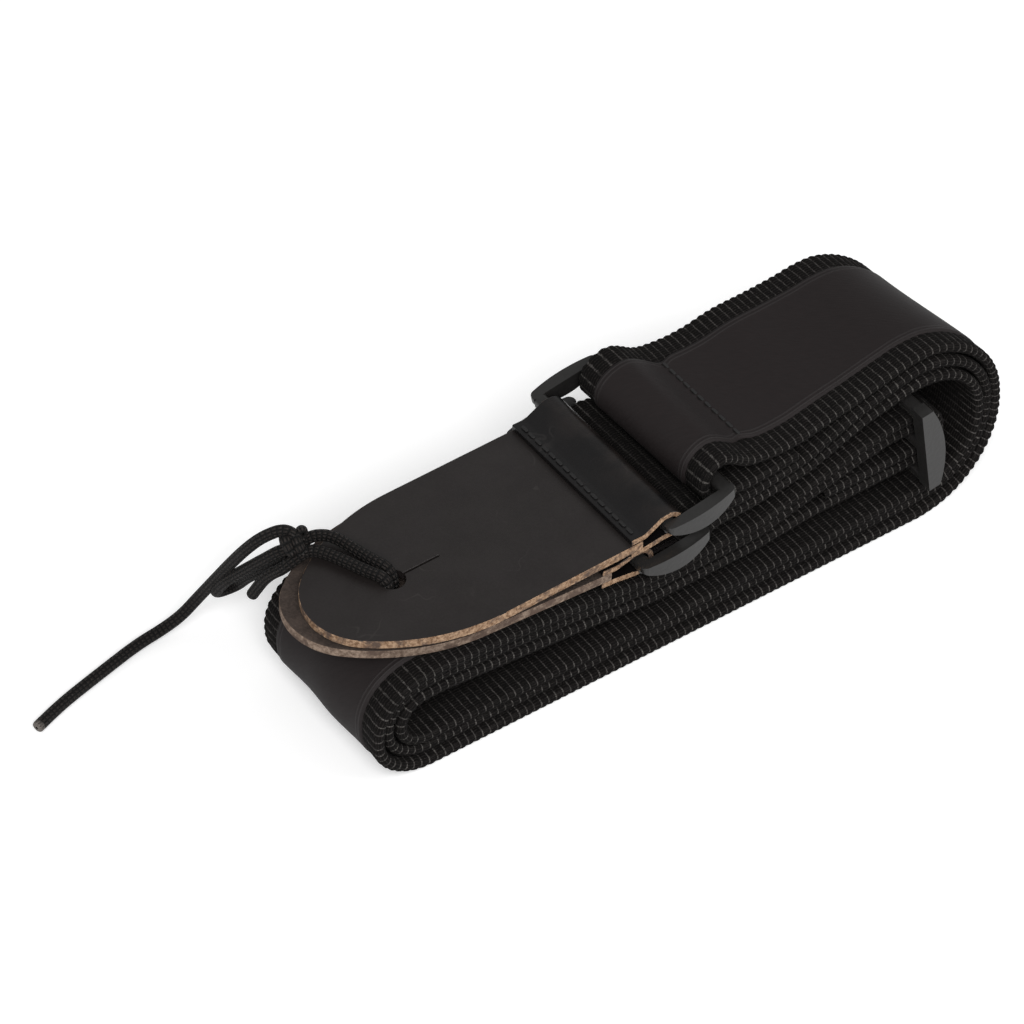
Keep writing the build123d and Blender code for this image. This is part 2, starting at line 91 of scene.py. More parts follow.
for name, place, size, power in (
    ("key", (-0.9, -1.3, 1.5), 1.4, 40.0),
    ("fill", (1.2, -1.0, 1.0), 1.2, 12.0),
):
    lamp = bpy.data.objects.new(name, bpy.data.lights.new(name, "AREA"))
    lamp.data.shape = "DISK"
    lamp.data.size = size
    lamp.data.energy = power
    lamp.location = place
    lamp.rotation_mode = "QUATERNION"
    lamp.rotation_quaternion = (-Vector(place)).to_track_quat("-Z", "Y")
    scene.collection.objects.link(lamp)
    lamp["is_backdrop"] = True


class Wire:
    """A shader socket used in formulas like a number; plain numbers may stand on either side."""

    def __init__(self, socket):
        self.socket = socket

    def make(self, kind, inputs, output=0, **settings):
        """New node of any kind in the same graph, with its inputs given by number or name."""
        node = self.socket.id_data.nodes.new(kind)
        for name, value in settings.items():
            setattr(node, name, value)
        for name, value in inputs.items():
            if isinstance(value, Wire):
                node.id_data.links.new(value.socket, node.inputs[name])
            else:
                node.inputs[name].default_value = value
        return Wire(node.outputs[output])

    def math(self, operation, *values):
        """One sum of numbers and Wires, by Blender's name for it."""
        return self.make("ShaderNodeMath", dict(enumerate(values)), operation=operation)

    def __add__(self, other):
        return self.math("ADD", self, other)

    def __sub__(self, other):
        return self.math("SUBTRACT", self, other)

    def __rsub__(self, other):
        return self.math("SUBTRACT", other, self)

    def __mul__(self, other):
        return self.math("MULTIPLY", self, other)

    def __truediv__(self, other):
        return self.math("DIVIDE", self, other)

    def __abs__(self):
        return self.math("ABSOLUTE", self)

    __radd__ = __add__
    __rmul__ = __mul__

    def floor(self):
        return self.math("FLOOR", self)

    def fraction(self):
        return self.math("FRACT", self)

    def wave(self):
        """Sine of the value in turns, from 0 to 1."""
        return self.math("SINE", self * (2 * pi)) * 0.5 + 0.5

    def between(self, low, high):
        """0 at low and 1 at high, rounded at both."""
        inputs = {"Value": self, "From Min": low, "From Max": high}
        return self.make("ShaderNodeMapRange", inputs, interpolation_type="SMOOTHSTEP")

    def mix(self, first, second):
        """Colour from the first one, where this is 0, to the second one, where it is 1."""
        inputs = {0: self, 6: first, 7: second}
        return self.make("ShaderNodeMix", inputs, 2, data_type="RGBA")

    def noise(self, scale, detail=2.0, roughness=0.5):
        """Smooth random values round 0.5, with this many patches per unit of length."""
        inputs = {"Vector": self, "Scale": scale, "Detail": detail, "Roughness": roughness}
        return self.make("ShaderNodeTexNoise", inputs)

    def axes(self):
        """The three parts of a vector, each as a Wire."""
        split = self.make("ShaderNodeSeparateXYZ", {0: self}).socket.node
        return [Wire(socket) for socket in split.outputs]

    def joined(self, y=0.0, z=0.0):
        """Vector with this value first."""
        return self.make("ShaderNodeCombineXYZ", {0: self, 1: y, 2: z})


def new_material(name, roughness, specular=0.5):
    """(material, its shader, object coordinates as a Wire)."""
    material = bpy.data.materials.new(name)
    material.use_nodes = True
    shader = material.node_tree.nodes["Principled BSDF"]
    shader.inputs["Roughness"].default_value = roughness
    shader.inputs["Specular IOR Level"].default_value = specular
    place = Wire(material.node_tree.nodes.new("ShaderNodeTexCoord").outputs["Object"])
    return material, shader, place


def set_input(shader, name, wire):
    """Run this Wire into the shader's input of that name."""
    shader.id_data.links.new(wire.socket, shader.inputs[name])


def bumped(shader, height, distance, strength=1.0):
    """Height as a bump of this depth in metres where it is 1."""
    inputs = {"Strength": strength, "Distance": distance, "Height": height}
    set_input(shader, "Normal", height.make("ShaderNodeBump", inputs))


floor_reach = 3.0
floor_corners = [(floor_reach * x, floor_reach * y, 0.0) for x, y in ((-1, -1), (1, -1), (1, 1), (-1, 1))]
floor_mesh = bpy.data.meshes.new("floor")
floor_mesh.from_pydata(floor_corners, [], [(0, 1, 2, 3)])
floor = bpy.data.objects.new("floor", floor_mesh)
floor.location = (0.0, 0.0, -0.0002)
floor_material, floor_shader, floor_place = new_material("floor", 0.9, 0.0)
floor_shader.inputs["Base Color"].default_value = (0.93, 0.93, 0.93, 1.0)
floor_shader.inputs["Emission Strength"].default_value = 1.0
seen = floor_place.make("ShaderNodeLightPath", {})
no_glow, faint_glow = (0.0, 0.0, 0.0, 1.0), (0.22, 0.22, 0.22, 1.0)
set_input(floor_shader, "Emission Color", seen.mix(no_glow, faint_glow))
floor_mesh.materials.append(floor_material)
scene.collection.objects.link(floor)
floor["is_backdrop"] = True


# ---- Webbing: one long tape of black synthetic yarn, woven with ribs across it and rolled into a flat bundle. Its
# upper end is an eye round the upper loop, it goes round the slider twice, and the lower loop hangs in its bend.
# Its middle line is read from the side outline of the CAD strap. Lengths are in millimetres up to the mesh.
webbing_width = 50.0
tape_half = 1.5
rib = 2.14
sample = rib / 4


def side_outline(node):
    """Corners round the flat side face of a CAD strip, in millimetres as (x, z), anticlockwise.

    The border is made of those edges of the face's triangles that no other of its triangles shares.
    """
    mesh = node.data
    mesh.calc_loop_triangles()
    corners = np.empty(len(mesh.vertices) * 3, np.float32)
    mesh.vertices.foreach_get("co", corners)
    corners = corners.reshape(-1, 3) * 1000.0
    triangles = np.empty(len(mesh.loop_triangles) * 3, np.int32)
    mesh.loop_triangles.foreach_get("vertices", triangles)
    triangles = triangles.reshape(-1, 3)
    side_depth, decimals = 0.05, 2
    on_side = corners[:, 1] > corners[:, 1].max() - side_depth
    side = triangles[on_side[triangles].all(axis=1)]
    places, index = np.unique(np.round(corners[:, [0, 2]], decimals), axis=0, return_inverse=True)
    side = index.ravel()[side]
    edges = np.vstack([side[:, [0, 1]], side[:, [1, 2]], side[:, [2, 0]]])
    known = {(int(a), int(b)) for a, b in edges}
    after = {a: b for a, b in known if (b, a) not in known}
    start = next(iter(after))
    round_it = [start]
    while after[round_it[-1]] != start:
        round_it.append(after[round_it[-1]])
    loop = places[round_it].astype(float)
    x, z = loop.T
    area = np.sum(x * np.roll(z, -1) - z * np.roll(x, -1))
    return loop if area > 0 else loop[::-1]


def resampled(points, step):
    """Points at equal steps along a line, and how far along each is."""
    along = np.r_[0.0, np.cumsum(np.linalg.norm(np.diff(points, axis=0), axis=1))]
    steps = np.linspace(0.0, along[-1], int(round(along[-1] / step)) + 1)
    return np.stack([np.interp(steps, along, column) for column in points.T], axis=1), steps


def ramp(value, low, high):
    """0 up to low, 1 from high, and a smooth rise between: t squared times (3 minus 2t)."""
    t = np.clip((value - low) / (high - low), 0.0, 1.0)
    return t * t * (3.0 - 2.0 * t)


# The four sharpest corners of the outline are the tape's two ends, and the longest piece between corners is one
# side of the tape. The middle line lies half the thickness inside it, and starts at the upper end.
outline = side_outline(cad["webbing_strap"])
way = np.roll(outline, -1, axis=0) - outline
way /= np.linalg.norm(way, axis=1)[:, None]
bend = np.einsum("ij,ij->i", way, np.roll(way, 1, axis=0))
ends = np.sort(np.argsort(bend)[:4])
outline = np.roll(outline, -ends[0], axis=0)
ends = ends - ends[0]
one_side = max([outline[a : b + 1] for a, b in zip(ends, ends[1:])], key=len)
way = np.gradient(one_side, axis=0)
way /= np.linalg.norm(way, axis=1)[:, None]
middle = one_side + tape_half * np.stack([-way[:, 1], way[:, 0]], axis=1)
if middle[0, 1] < middle[-1, 1]:
    middle = middle[::-1]
middle, along = resampled(middle, sample)
longer = np.pad(middle, ((2, 2), (0, 0)), "edge")
middle = (longer[:-4] + 2 * longer[1:-3] + 3 * longer[2:-2] + 2 * longer[3:-1] + longer[4:]) / 9
way = np.gradient(middle, axis=0)
way /= np.linalg.norm(way, axis=1)[:, None]
outward = np.stack([-way[:, 1], way[:, 0]], axis=1)

# The tape turns back ten times: numbers 1 to 3 are the outer, middle and inner layer of a fold.
turns = along[np.nonzero(np.diff(np.sign(way[:, 0])))[0]]
(upper_eye, right_1, left_1, slider_1, left_3, right_3, lower_eye, right_2, left_2, slider_2) = turns

# How far the tape lies aside, along Y, at places along it.
stagger_at = [
    (0.0, 0.8),
    (upper_eye, 1.1),
    (upper_eye + 25.0, 1.8),
    (right_1 - 32.0, 3.6),
    (right_1, 1.5),
    (right_1 + 40.0, -3.4),
    (left_1, -3.7),
    (left_1 + 60.0, -0.9),
    (slider_1, 0.0),
    (left_3 - 60.0, -0.6),
    (left_3, -2.4),
    (right_3 - 40.0, -2.9),
    (right_3, -0.2),
    (right_3 + 32.0, 1.2),
    (lower_eye, 0.2),
    (lower_eye + 30.0, 0.6),
    (right_2 - 32.0, 2.2),
    (right_2, 0.8),
    (right_2 + 40.0, -2.0),
    (left_2, -2.2),
    (left_2 + 60.0, -0.2),
    (slider_2, 0.0),
    (along[-1], 0.0),
]
stagger = np.interp(along, *zip(*stagger_at))

# Behind the upper eye the top layer stands a little higher than in the CAD.
level = middle.copy()
rise, rise_behind_eye, rise_spread = 3.6, 14.0, 11.0
middle[:, 1] += rise * np.exp(-(((along - upper_eye - rise_behind_eye) / rise_spread) ** 2))
slider_at = np.array([70.6, 24.3])


def settled(points):
    """Points of the roll moved to where soft layers settle, in four steps that all fade out smoothly.

    The right fold goes out along X at the near side and in at the far side; the left fold goes out and gets a
    shallow wave across; the upper eye's far side goes towards the leather; the right fold's top goes down, most
    at the far side. Nothing round the slider moves with the right fold.
    """
    x, y, z = points[..., 0], points[..., 1], points[..., 2]
    far = np.clip(y / webbing_width + 0.5, 0.0, 1.1)
    clear = ramp(np.hypot(x - slider_at[0], z - slider_at[1]), 10.0, 16.0)
    right_fold = ramp(x, 40.0, 95.0) * clear
    right_top = ramp(x, 40.0, 70.0) * ramp(z, 16.0, 46.0) * clear
    left_fold, left_end = ramp(-x, 70.0, 92.0), ramp(-x, 84.0, 96.0)
    at_eye = np.exp(-(((x - 3.5) / 6.0) ** 2)) * ramp(z, 34.0, 40.0)
    near_out, far_in = 1.3, 1.7
    left_out, wave_depth = 1.5, 0.5
    eye_out = 1.8
    near_down, far_down = 0.9, 4.3
    pulled = points.copy()
    pulled[..., 0] += (near_out - far_in * far) * right_fold
    pulled[..., 0] -= left_out * left_fold
    pulled[..., 0] += wave_depth * np.sin(0.27 * y + 0.6) * left_end
    pulled[..., 0] -= eye_out * far * at_eye
    pulled[..., 2] -= (near_down + far_down * ramp(far, 0.0, 1.0)) * right_top
    return pulled


def surface_mesh(name, points, layers, round_it=False):
    """Mesh of a grid of points in millimetres, with one UV layer per pair of grids in layers.

    With round_it, the last column joins the first, and the UV grids have one column more than the points.
    """
    rows, columns = points.shape[:2]
    index = np.arange(rows * columns).reshape(rows, columns)
    if round_it:
        index = np.c_[index, index[:, :1]]
    quads = np.stack([index[:-1, :-1], index[:-1, 1:], index[1:, 1:], index[1:, :-1]], axis=-1)
    mesh = bpy.data.meshes.new(name)
    mesh.vertices.add(rows * columns)
    mesh.vertices.foreach_set("co", (points * 0.001).astype(np.float32).ravel())
    mesh.loops.add(quads.size)
    mesh.loops.foreach_set("vertex_index", quads.astype(np.int32).ravel())
    mesh.polygons.add(quads.size // 4)
    mesh.polygons.foreach_set("loop_start", np.arange(0, quads.size, 4, dtype=np.int32))
    mesh.polygons.foreach_set("use_smooth", np.ones(quads.size // 4, bool))
    mesh.update(calc_edges=True)
    for layer, (u, v) in layers.items():
        grid = np.stack(np.broadcast_arrays(u, v), axis=-1).astype(np.float32)
        corners = [grid[:-1, :-1], grid[:-1, 1:], grid[1:, 1:], grid[1:, :-1]]
        mesh.uv_layers.new(name=layer).data.foreach_set("uv", np.stack(corners, axis=2).ravel())
    mesh.validate()
    return mesh


def placed(name, mesh, body, material, *replaced):
    """Object for the mesh, riding on the body and standing for those CAD nodes."""
    piece = bpy.data.objects.new(name, mesh)
    scene.collection.objects.link(piece)
    mesh.materials.append(material)
    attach(piece, body)
    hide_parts(*replaced)
    return piece


def uv(wire, layer):
    """Coordinates from the mesh's UV layer of this name."""
    return wire.make("ShaderNodeUVMap", {}, uv_map=layer)


# One ring round the tape's section: the outer face with close points at the ribbon's sides, a round edge, the
# inner face and the other edge. Its places are across the tape (y) and out from the middle line (h).
flat_half = webbing_width / 2 - tape_half
beside_ribbon = np.array([17.3, 18.4, 20.0, 21.8, flat_half])
outer_y = np.r_[-beside_ribbon[::-1], 0.0, beside_ribbon]
inside = np.array([flat_half, 20.0, 8.0])
inner_y = np.r_[inside, -inside[::-1]]
edge_angle = np.radians(np.linspace(90.0, -90.0, 8)[1:-1])
edge_y, edge_h = flat_half + tape_half * np.cos(edge_angle), tape_half * np.sin(edge_angle)
ring_y = np.r_[outer_y, edge_y, inner_y, -edge_y[::-1]]
ring_h = np.r_[np.full(len(outer_y), tape_half), edge_h, np.full(len(inner_y), -tape_half), edge_h[::-1]]
ring_out_y = np.where(np.abs(ring_y) > flat_half, ring_y - flat_half * np.sign(ring_y), 0.0) / tape_half
ring_out_h = ring_h / tape_half
ring_mm = np.r_[0.0, np.cumsum(np.hypot(np.diff(ring_y), np.diff(ring_h)))]

# Ribs are counted along the tape. On a face that looks down they lie half a rib nearer to -X, so their lines lean
# on the edges. The grooves between them go deeper at the edges, and the tape dips where the ribbon lies on it.
down = np.clip(-ring_out_h * way[:, :1], 0.0, 1.0)
count = along[:, None] / rib + 0.5 * down**2 * way[:, :1]
groove = np.abs(np.cos(pi * count)) ** 3
edge_groove, face_groove = 0.36, 0.24
depth = np.where(np.abs(ring_y) > flat_half - 0.5, edge_groove, face_groove)
ribbon_half = 18.0
ribbon_from, ribbon_to = upper_eye - 6.5, slider_1 - 46.0
ribbon_dip = 0.55
under_ribbon = ramp(along, ribbon_from, ribbon_from + 6.0) * (1.0 - ramp(along, ribbon_to - 4.0, ribbon_to))
under_ribbon = under_ribbon[:, None] * ((ring_h > 1.4) & (np.abs(ring_y) < ribbon_half - 0.5))
inward = depth * groove + ribbon_dip * under_ribbon
y = ring_y - inward * ring_out_y + stagger[:, None]
h = ring_h - inward * ring_out_h
tape = np.stack([middle[:, :1] + h * outward[:, :1], y, middle[:, 1:] + h * outward[:, 1:]], axis=-1)
closed_mm = np.r_[ring_mm, ring_mm[-1] + 1.0]
closed_y, closed_h = np.r_[ring_y, ring_y[0]], np.r_[ring_h, ring_h[0]]
webbing_mesh = surface_mesh(
    "webbing",
    settled(tape),
    {
        "weave": (np.c_[count, count[:, :1]], closed_mm[None, :]),
        "section": (closed_y[None, :] + 0 * along[:, None], closed_h[None, :]),
    },
    round_it=True,
)

# The weave: a broken, beaded pale line in each groove, strongest near the edges, a faint hem line, and dark
# ribs of fine yarns. Each line wanders a little as it crosses the tape.
webbing_material, webbing_shader, place = new_material("webbing", 0.9, 0.08)
count, girth = uv(place, "weave").axes()[:2]
side, high = uv(place, "section").axes()[:2]
at_edge = abs(side).between(22.6, 23.8)
near_edge_face = abs(side).between(15.0, 22.0)
wander = (count.floor().joined(girth * 0.45)).noise(1.6, 2.0) - 0.5
count = count + wander * (0.30 - at_edge * 0.10)
row = (count + 0.5).floor()
to_line = abs((count + 0.5).fraction() - 0.5) * rib
line = 1.0 - to_line.between(0.07, 0.24)
bead_pitch, yarn_pitch = 0.7, 0.8
beads = (girth / bead_pitch + row * 0.37).wave()
broken = (row * 3.1).joined(girth * 0.7).noise(1.2, 3.0).between(0.36, 0.60)
# On the tape's flat middle the lines fade to a fifth. This is partly the weave's look and partly painted shade,
# which darkens the flat layers that lie in shade under the band and the loops.
line = line * (beads * 0.5 + 0.5) * (broken * 0.7 + 0.3) * (at_edge * 0.3 + near_edge_face * 0.5 + 0.2)
hem = (1.0 - abs(abs(high) - 1.1).between(0.02, 0.15)) * abs(side).between(23.7, 24.2)
hem = hem * (count * 0.8).joined(side).noise(1.0, 3.0).between(0.42, 0.66)
line = line.math("MAXIMUM", line, hem * 0.12)
grain = place.noise(2600.0, 2.0)
yarn = ((girth / yarn_pitch).wave() * grain).between(0.25, 0.75)
black_yarn, brown_yarn = (0.004, 0.0036, 0.0034, 1.0), (0.021, 0.0182, 0.0170, 1.0)
pale_yarn = (0.10, 0.093, 0.087, 1.0)
set_input(webbing_shader, "Base Color", line.mix(yarn.mix(black_yarn, brown_yarn), pale_yarn))
bumped(webbing_shader, line * 0.5 + yarn * 0.5, 0.00035)
placed("webbing", webbing_mesh, "strap", webbing_material, "webbing_strap")


# ---- Satin ribbon: a thin band of black satin, sewn flat along the tape's outer face with two seams at each side.
# It starts with rounded corners at the upper eye, where the eye's stitches pull it narrow, and runs on under the
# roll and round the left fold.
on_ribbon = (along >= ribbon_from) & (along <= ribbon_to)
ribbon_along = along[on_ribbon]
from_start = ribbon_along - ribbon_from
stitch_at = upper_eye + 21.0
corner_length, corner_depth = 8.0, 7.0
corner = 1.0 - np.clip(from_start / corner_length, 0.0, 1.0)
half_width = ribbon_half - corner_depth * (1.0 - np.sqrt(1.0 - corner**2))
pinch_spread, pinch_depth, stitch_pitch = 2.6, 1.3, 2.9
pinch = np.exp(-(((ribbon_along - stitch_at) / pinch_spread) ** 2))
half_width = half_width - pinch_depth * pinch
columns = np.r_[-1.0, -0.985, np.linspace(-0.96, 0.96, 25), 0.985, 1.0]
tucked_in, at_side, on_top = 0.9, 1.62, 1.78
height = np.where(np.abs(columns) > 0.99, tucked_in, np.where(np.abs(columns) > 0.97, at_side, on_top))
y = half_width[:, None] * columns
dent = 0.35 * pinch[:, None] * (0.6 + 0.4 * np.cos(2 * pi * y / stitch_pitch))
h = height - dent * (height > tucked_in)
centre, out = middle[on_ribbon], outward[on_ribbon]
ribbon_points = np.stack(
    [centre[:, :1] + h * out[:, :1], y + stagger[on_ribbon][:, None], centre[:, 1:] + h * out[:, 1:]], axis=-1
)
ribbon_mesh = surface_mesh(
    "ribbon",
    settled(ribbon_points),
    {
        "cloth": (ribbon_along[:, None], y),
        "edge": (ribbon_along[:, None], half_width[:, None] - np.abs(y)),
    },
)
ribbon_material, ribbon_shader, place = new_material("satin", 0.68, 0.22)
run, side = uv(place, "cloth").axes()[:2]
from_edge = uv(place, "edge").axes()[1]
diagonal = (run * 0.7 + side * 0.7).joined((run - side) * 0.12)
twill = diagonal.noise(1.6, 3.0, 0.6)
first_seam, second_seam = 1.0, 2.1
seam = 1.0 - abs(from_edge - first_seam).between(0.10, 0.30)
seam = seam + 0.8 * (1.0 - abs(from_edge - second_seam).between(0.10, 0.30))
satin = twill.mix((0.0085, 0.0062, 0.0062, 1.0), (0.0150, 0.0112, 0.0112, 1.0))
set_input(ribbon_shader, "Base Color", (seam * 0.28).mix(satin, (0.05, 0.047, 0.046, 1.0)))
bumped(ribbon_shader, twill * 0.35 - seam * 0.5, 0.0002)
placed("ribbon", ribbon_mesh, "strap", ribbon_material, "satin_ribbon")


# ---- Eye stitches: a row of black thread across ribbon and tape, which closes the upper eye behind the loop.
# It goes from its place on the CAD's tape to the same place on the raised tape, turned with it.
thread_material, thread_shader, place = new_material("thread", 0.6, 0.4)
black_thread, grey_thread = (0.004, 0.004, 0.004, 1.0), (0.016, 0.015, 0.015, 1.0)
set_input(thread_shader, "Base Color", place.noise(3000.0, 1.0).mix(black_thread, grey_thread))


def softened(name, node, body, width, materials, which=None):
    """Copy of a CAD node with merged corners and its edges rounded to this width in metres.

    which(normal, centre) gives the number of a face's material; without it all take the first.
    """
    mesh = cad[node].data.copy()
    mesh.name = name
    mesh.materials.clear()
    work = bmesh.new()
    work.from_mesh(mesh)
    bmesh.ops.remove_doubles(work, verts=work.verts, dist=1e-6)
    flat_enough, sharp_enough = radians(1.0), radians(35.0)
    bmesh.ops.dissolve_limit(work, angle_limit=flat_enough, verts=work.verts, edges=work.edges)
    for face in work.faces:
        face.smooth = True
        face.material_index = which(face.normal, face.calc_center_median()) if which else 0
    work.to_mesh(mesh)
    work.free()
    piece = placed(name, mesh, body, materials[0], node)
    for material in materials[1:]:
        mesh.materials.append(material)
    rounding = piece.modifiers.new("rounding", "BEVEL")
    rounding.width = width
    rounding.segments = 3
    rounding.limit_method = "ANGLE"
    rounding.angle_limit = sharp_enough
    rounding.harden_normals = True
    rounding.use_clamp_overlap = True
    even = piece.modifiers.new("even_shading", "WEIGHTED_NORMAL")
    even.mode = "FACE_AREA"
    even.weight = 100
    return piece


thread_rounding = 0.0001
eye_stitches = softened("eye_stitches", "eye_stitching", "strap", thread_rounding, (thread_material,))
corners = np.array([vertex.co[:] for vertex in eye_stitches.data.vertices]) * 1000.0
centre = (corners.min(axis=0) + corners.max(axis=0))[[0, 2]] / 2
here = np.argmin(np.hypot(*(level - centre).T))
there = np.argmin(np.abs(along - stitch_at))
raised_way = np.gradient(middle, axis=0)[there]
before, after = np.arctan2(way[here, 1], way[here, 0]), np.arctan2(raised_way[1], raised_way[0])
above_ribbon = 0.05
height = (centre - level[here]) @ outward[here] + above_ribbon
target = middle[there] + height * np.array([-np.sin(after), np.cos(after)])
moved = Matrix.Translation((target[0] * 0.001, stagger[there] * 0.001, target[1] * 0.001))
turned = Matrix.Rotation(before - after, 4, "Y")
eye_stitches.data.transform(moved @ turned @ Matrix.Translation((-centre[0] * 0.001, 0.0, -centre[1] * 0.001)))


# ---- Plastic loops: frames moulded in black plastic with a fine grain. The webbing goes round one bar of each
# and a leather band round the other, so that the strap bends there.
plastic_material, plastic_shader, place = new_material("plastic", 0.33, 0.45)
grain = place.noise(900.0, 3.0)
black_plastic, grey_plastic = (0.012, 0.0115, 0.011, 1.0), (0.019, 0.018, 0.0175, 1.0)
set_input(plastic_shader, "Base Color", grain.mix(black_plastic, grey_plastic))
bumped(plastic_shader, grain, 0.00005)
loop_rounding = 0.0006
for loop in ("lower_loop", "upper_loop"):
    softened(loop + "_moulding", loop, loop, loop_rounding, (plastic_material,))


# ---- Leather ends, the lower one first: a thin band folded round the loop's bar, with a thicker tab sewn between
# its leaves. The lower tab lies flesh side up. Cut edges are raw, tan and mottled, and greyer on the lower tab.
def leather(name, dark, light, roughness, bump, scratches=0.0, fold_highlight=0.0):
    """Leather with soft blotches between two colours, fine pores, and a bump of this depth in metres.

    The last two are how strong the thin pale scratches and the painted brownish highlight at a band's fold are,
    from 0 to 1.
    """
    material, shader, place = new_material(name, roughness, 0.35)
    blotch = place.noise(90.0, 4.0, 0.6)
    pores = place.noise(1500.0, 3.0, 0.6)
    colour = (blotch * 0.6 + pores * 0.4).between(0.3, 0.7).mix(dark, light)
    # Painted highlight: blotches that turn brownish towards the band's fold stand in for the light that the glossy
    # leather reflects there.
    fold_starts, fold_full = -0.014, -0.004
    painted_highlight = place.axes()[0].between(fold_starts, fold_full) * blotch.between(0.35, 0.65) * fold_highlight
    colour = painted_highlight.mix(colour, (0.034, 0.025, 0.021, 1.0))
    hair_line = 1.0 - abs(place.noise(75.0, 2.0, 0.6) - 0.5).between(0.002, 0.010)
    scratch = hair_line * place.noise(120.0, 1.0).between(0.52, 0.66) * scratches
    set_input(shader, "Base Color", scratch.mix(colour, (0.09, 0.08, 0.075, 1.0)))
    bumped(shader, pores * 0.7 + blotch * 0.3 - scratch * 0.5, bump)
    return material


smooth_leather = leather(
    "smooth_leather",
    (0.0115, 0.0092, 0.0088, 1.0),
    (0.0165, 0.0138, 0.0132, 1.0),
    roughness=0.38,
    bump=0.00005,
    scratches=0.1,
)
band_leather = leather(
    "band_leather",
    (0.003, 0.0026, 0.0028, 1.0),
    (0.0055, 0.0048, 0.005, 1.0),
    roughness=0.33,
    bump=0.0001,
    scratches=0.08,
    # How strong the painted highlight at the fold is.
    fold_highlight=0.3,
)
flesh_leather = leather(
    "flesh_leather",
    (0.018, 0.0125, 0.010, 1.0),
    (0.066, 0.048, 0.039, 1.0),
    roughness=0.85,
    bump=0.0003,
)


def raw(name, dark, light):
    """Cut edge of leather: fibres between two colours under patches that have gone dark."""
    material, shader, place = new_material(name, 0.85, 0.15)
    fibres = place.noise(1100.0, 4.0, 0.7)
    patches = place.noise(270.0, 3.0, 0.65)
    colour = fibres.between(0.30, 0.70).mix(dark, light)
    set_input(shader, "Base Color", patches.between(0.46, 0.64).mix(colour, (0.085, 0.058, 0.045, 1.0)))
    bumped(shader, fibres * 0.6 + patches * 0.4, 0.0005)
    return material


tan_edge = raw("tan_edge", (0.12, 0.064, 0.034, 1.0), (0.38, 0.255, 0.165, 1.0))
grey_edge = raw("grey_edge", (0.09, 0.060, 0.044, 1.0), (0.26, 0.195, 0.15, 1.0))


def tab_part(normal, centre):
    """0 for the upper face and the walls of hole and slit, 1 for the cut edge, 2 for the underside."""
    flat = 0.7
    nose_starts, hole_half = -0.078, 0.0045
    if normal.z < -flat:
        return 2
    in_hole_or_slit = centre.x > nose_starts and abs(centre.y) < hole_half
    return 0 if normal.z > flat or in_hole_or_slit else 1


def band_part(normal, centre):
    """1 for the cut sides, 0 for the rest."""
    return int(abs(normal.y) > 0.8)


tab_rounding, band_rounding = 0.0004, 0.0003
for end, leathers in (
    ("lower", (flesh_leather, grey_edge, smooth_leather)),
    ("upper", (smooth_leather, tan_edge, flesh_leather)),
):
    body = end + "_end"
    softened(end + "_tab_leather", end + "_tab", body, tab_rounding, leathers, tab_part)
    softened(end + "_band_leather", end + "_band", body, band_rounding, (band_leather, tan_edge), band_part)
    softened(end + "_tab_stitches", end + "_tab_stitching", body, thread_rounding, (thread_material,))


# ---- Slider: a frame moulded in the same black plastic, three bars between two bowed rails. It stands in the
# right fold, and only the webbing round its middle bar holds it.
slider_rounding = 0.0013
softened("slider_moulding", "slider", "slider", slider_rounding, (plastic_material,))


# ---- Lace: a round cord braided from black strands, two sets of them wound either way. Two cords come up through
# the upper tab's hole to a knot, and from there go a bow, a long tail on the floor with a pale cut end, and a short
# end. Each cord follows the CAD cord's points.
lace_width = 3.0
braid_length, braid_turns = 2.7, 5.0
lace_material, lace_shader, place = new_material("lace", 0.7, 0.25)
turns_along, round_lace = uv(place, "braid").axes()[:2]
right_hand = (turns_along + round_lace * braid_turns).fraction()
left_hand = (turns_along - round_lace * braid_turns).fraction()
strands = abs(abs(right_hand - 0.5) - abs(left_hand - 0.5)) * 2.0
fleck = place.noise(1800.0, 2.0).between(0.55, 0.75) * strands.between(0.15, 0.6)
braid = strands.between(0.1, 0.7).mix((0.0012, 0.0011, 0.0011, 1.0), (0.026, 0.0205, 0.018, 1.0))
tip_starts, tip_full = 129.4, 130.0
tail_tip = turns_along.between(tip_starts / braid_length, tip_full / braid_length) * 0.8
colour = (fleck * 0.7).mix(braid, (0.06, 0.057, 0.055, 1.0))
set_input(lace_shader, "Base Color", tail_tip.mix(colour, (0.17, 0.15, 0.135, 1.0)))
bumped(lace_shader, strands, 0.0011)


def followed(name, points):
    """Points along a NURBS spline of order 3 through the route, in millimetres."""
    curve = bpy.data.curves.new(name, "CURVE")
    curve.dimensions = "3D"
    curve.resolution_u = 12
    spline = curve.splines.new("NURBS")
    spline.points.add(len(points) - 1)
    for point, place in zip(spline.points, points):
        point.co = (*(0.001 * x for x in place), 1.0)
    spline.order_u = 3
    spline.use_endpoint_u = True
    holder = bpy.data.objects.new(name, curve)
    line = bpy.data.meshes.new_from_object(holder)
    route = np.array([vertex.co[:] for vertex in line.vertices]) * 1000.0
    bpy.data.objects.remove(holder)
    bpy.data.meshes.remove(line)
    return route


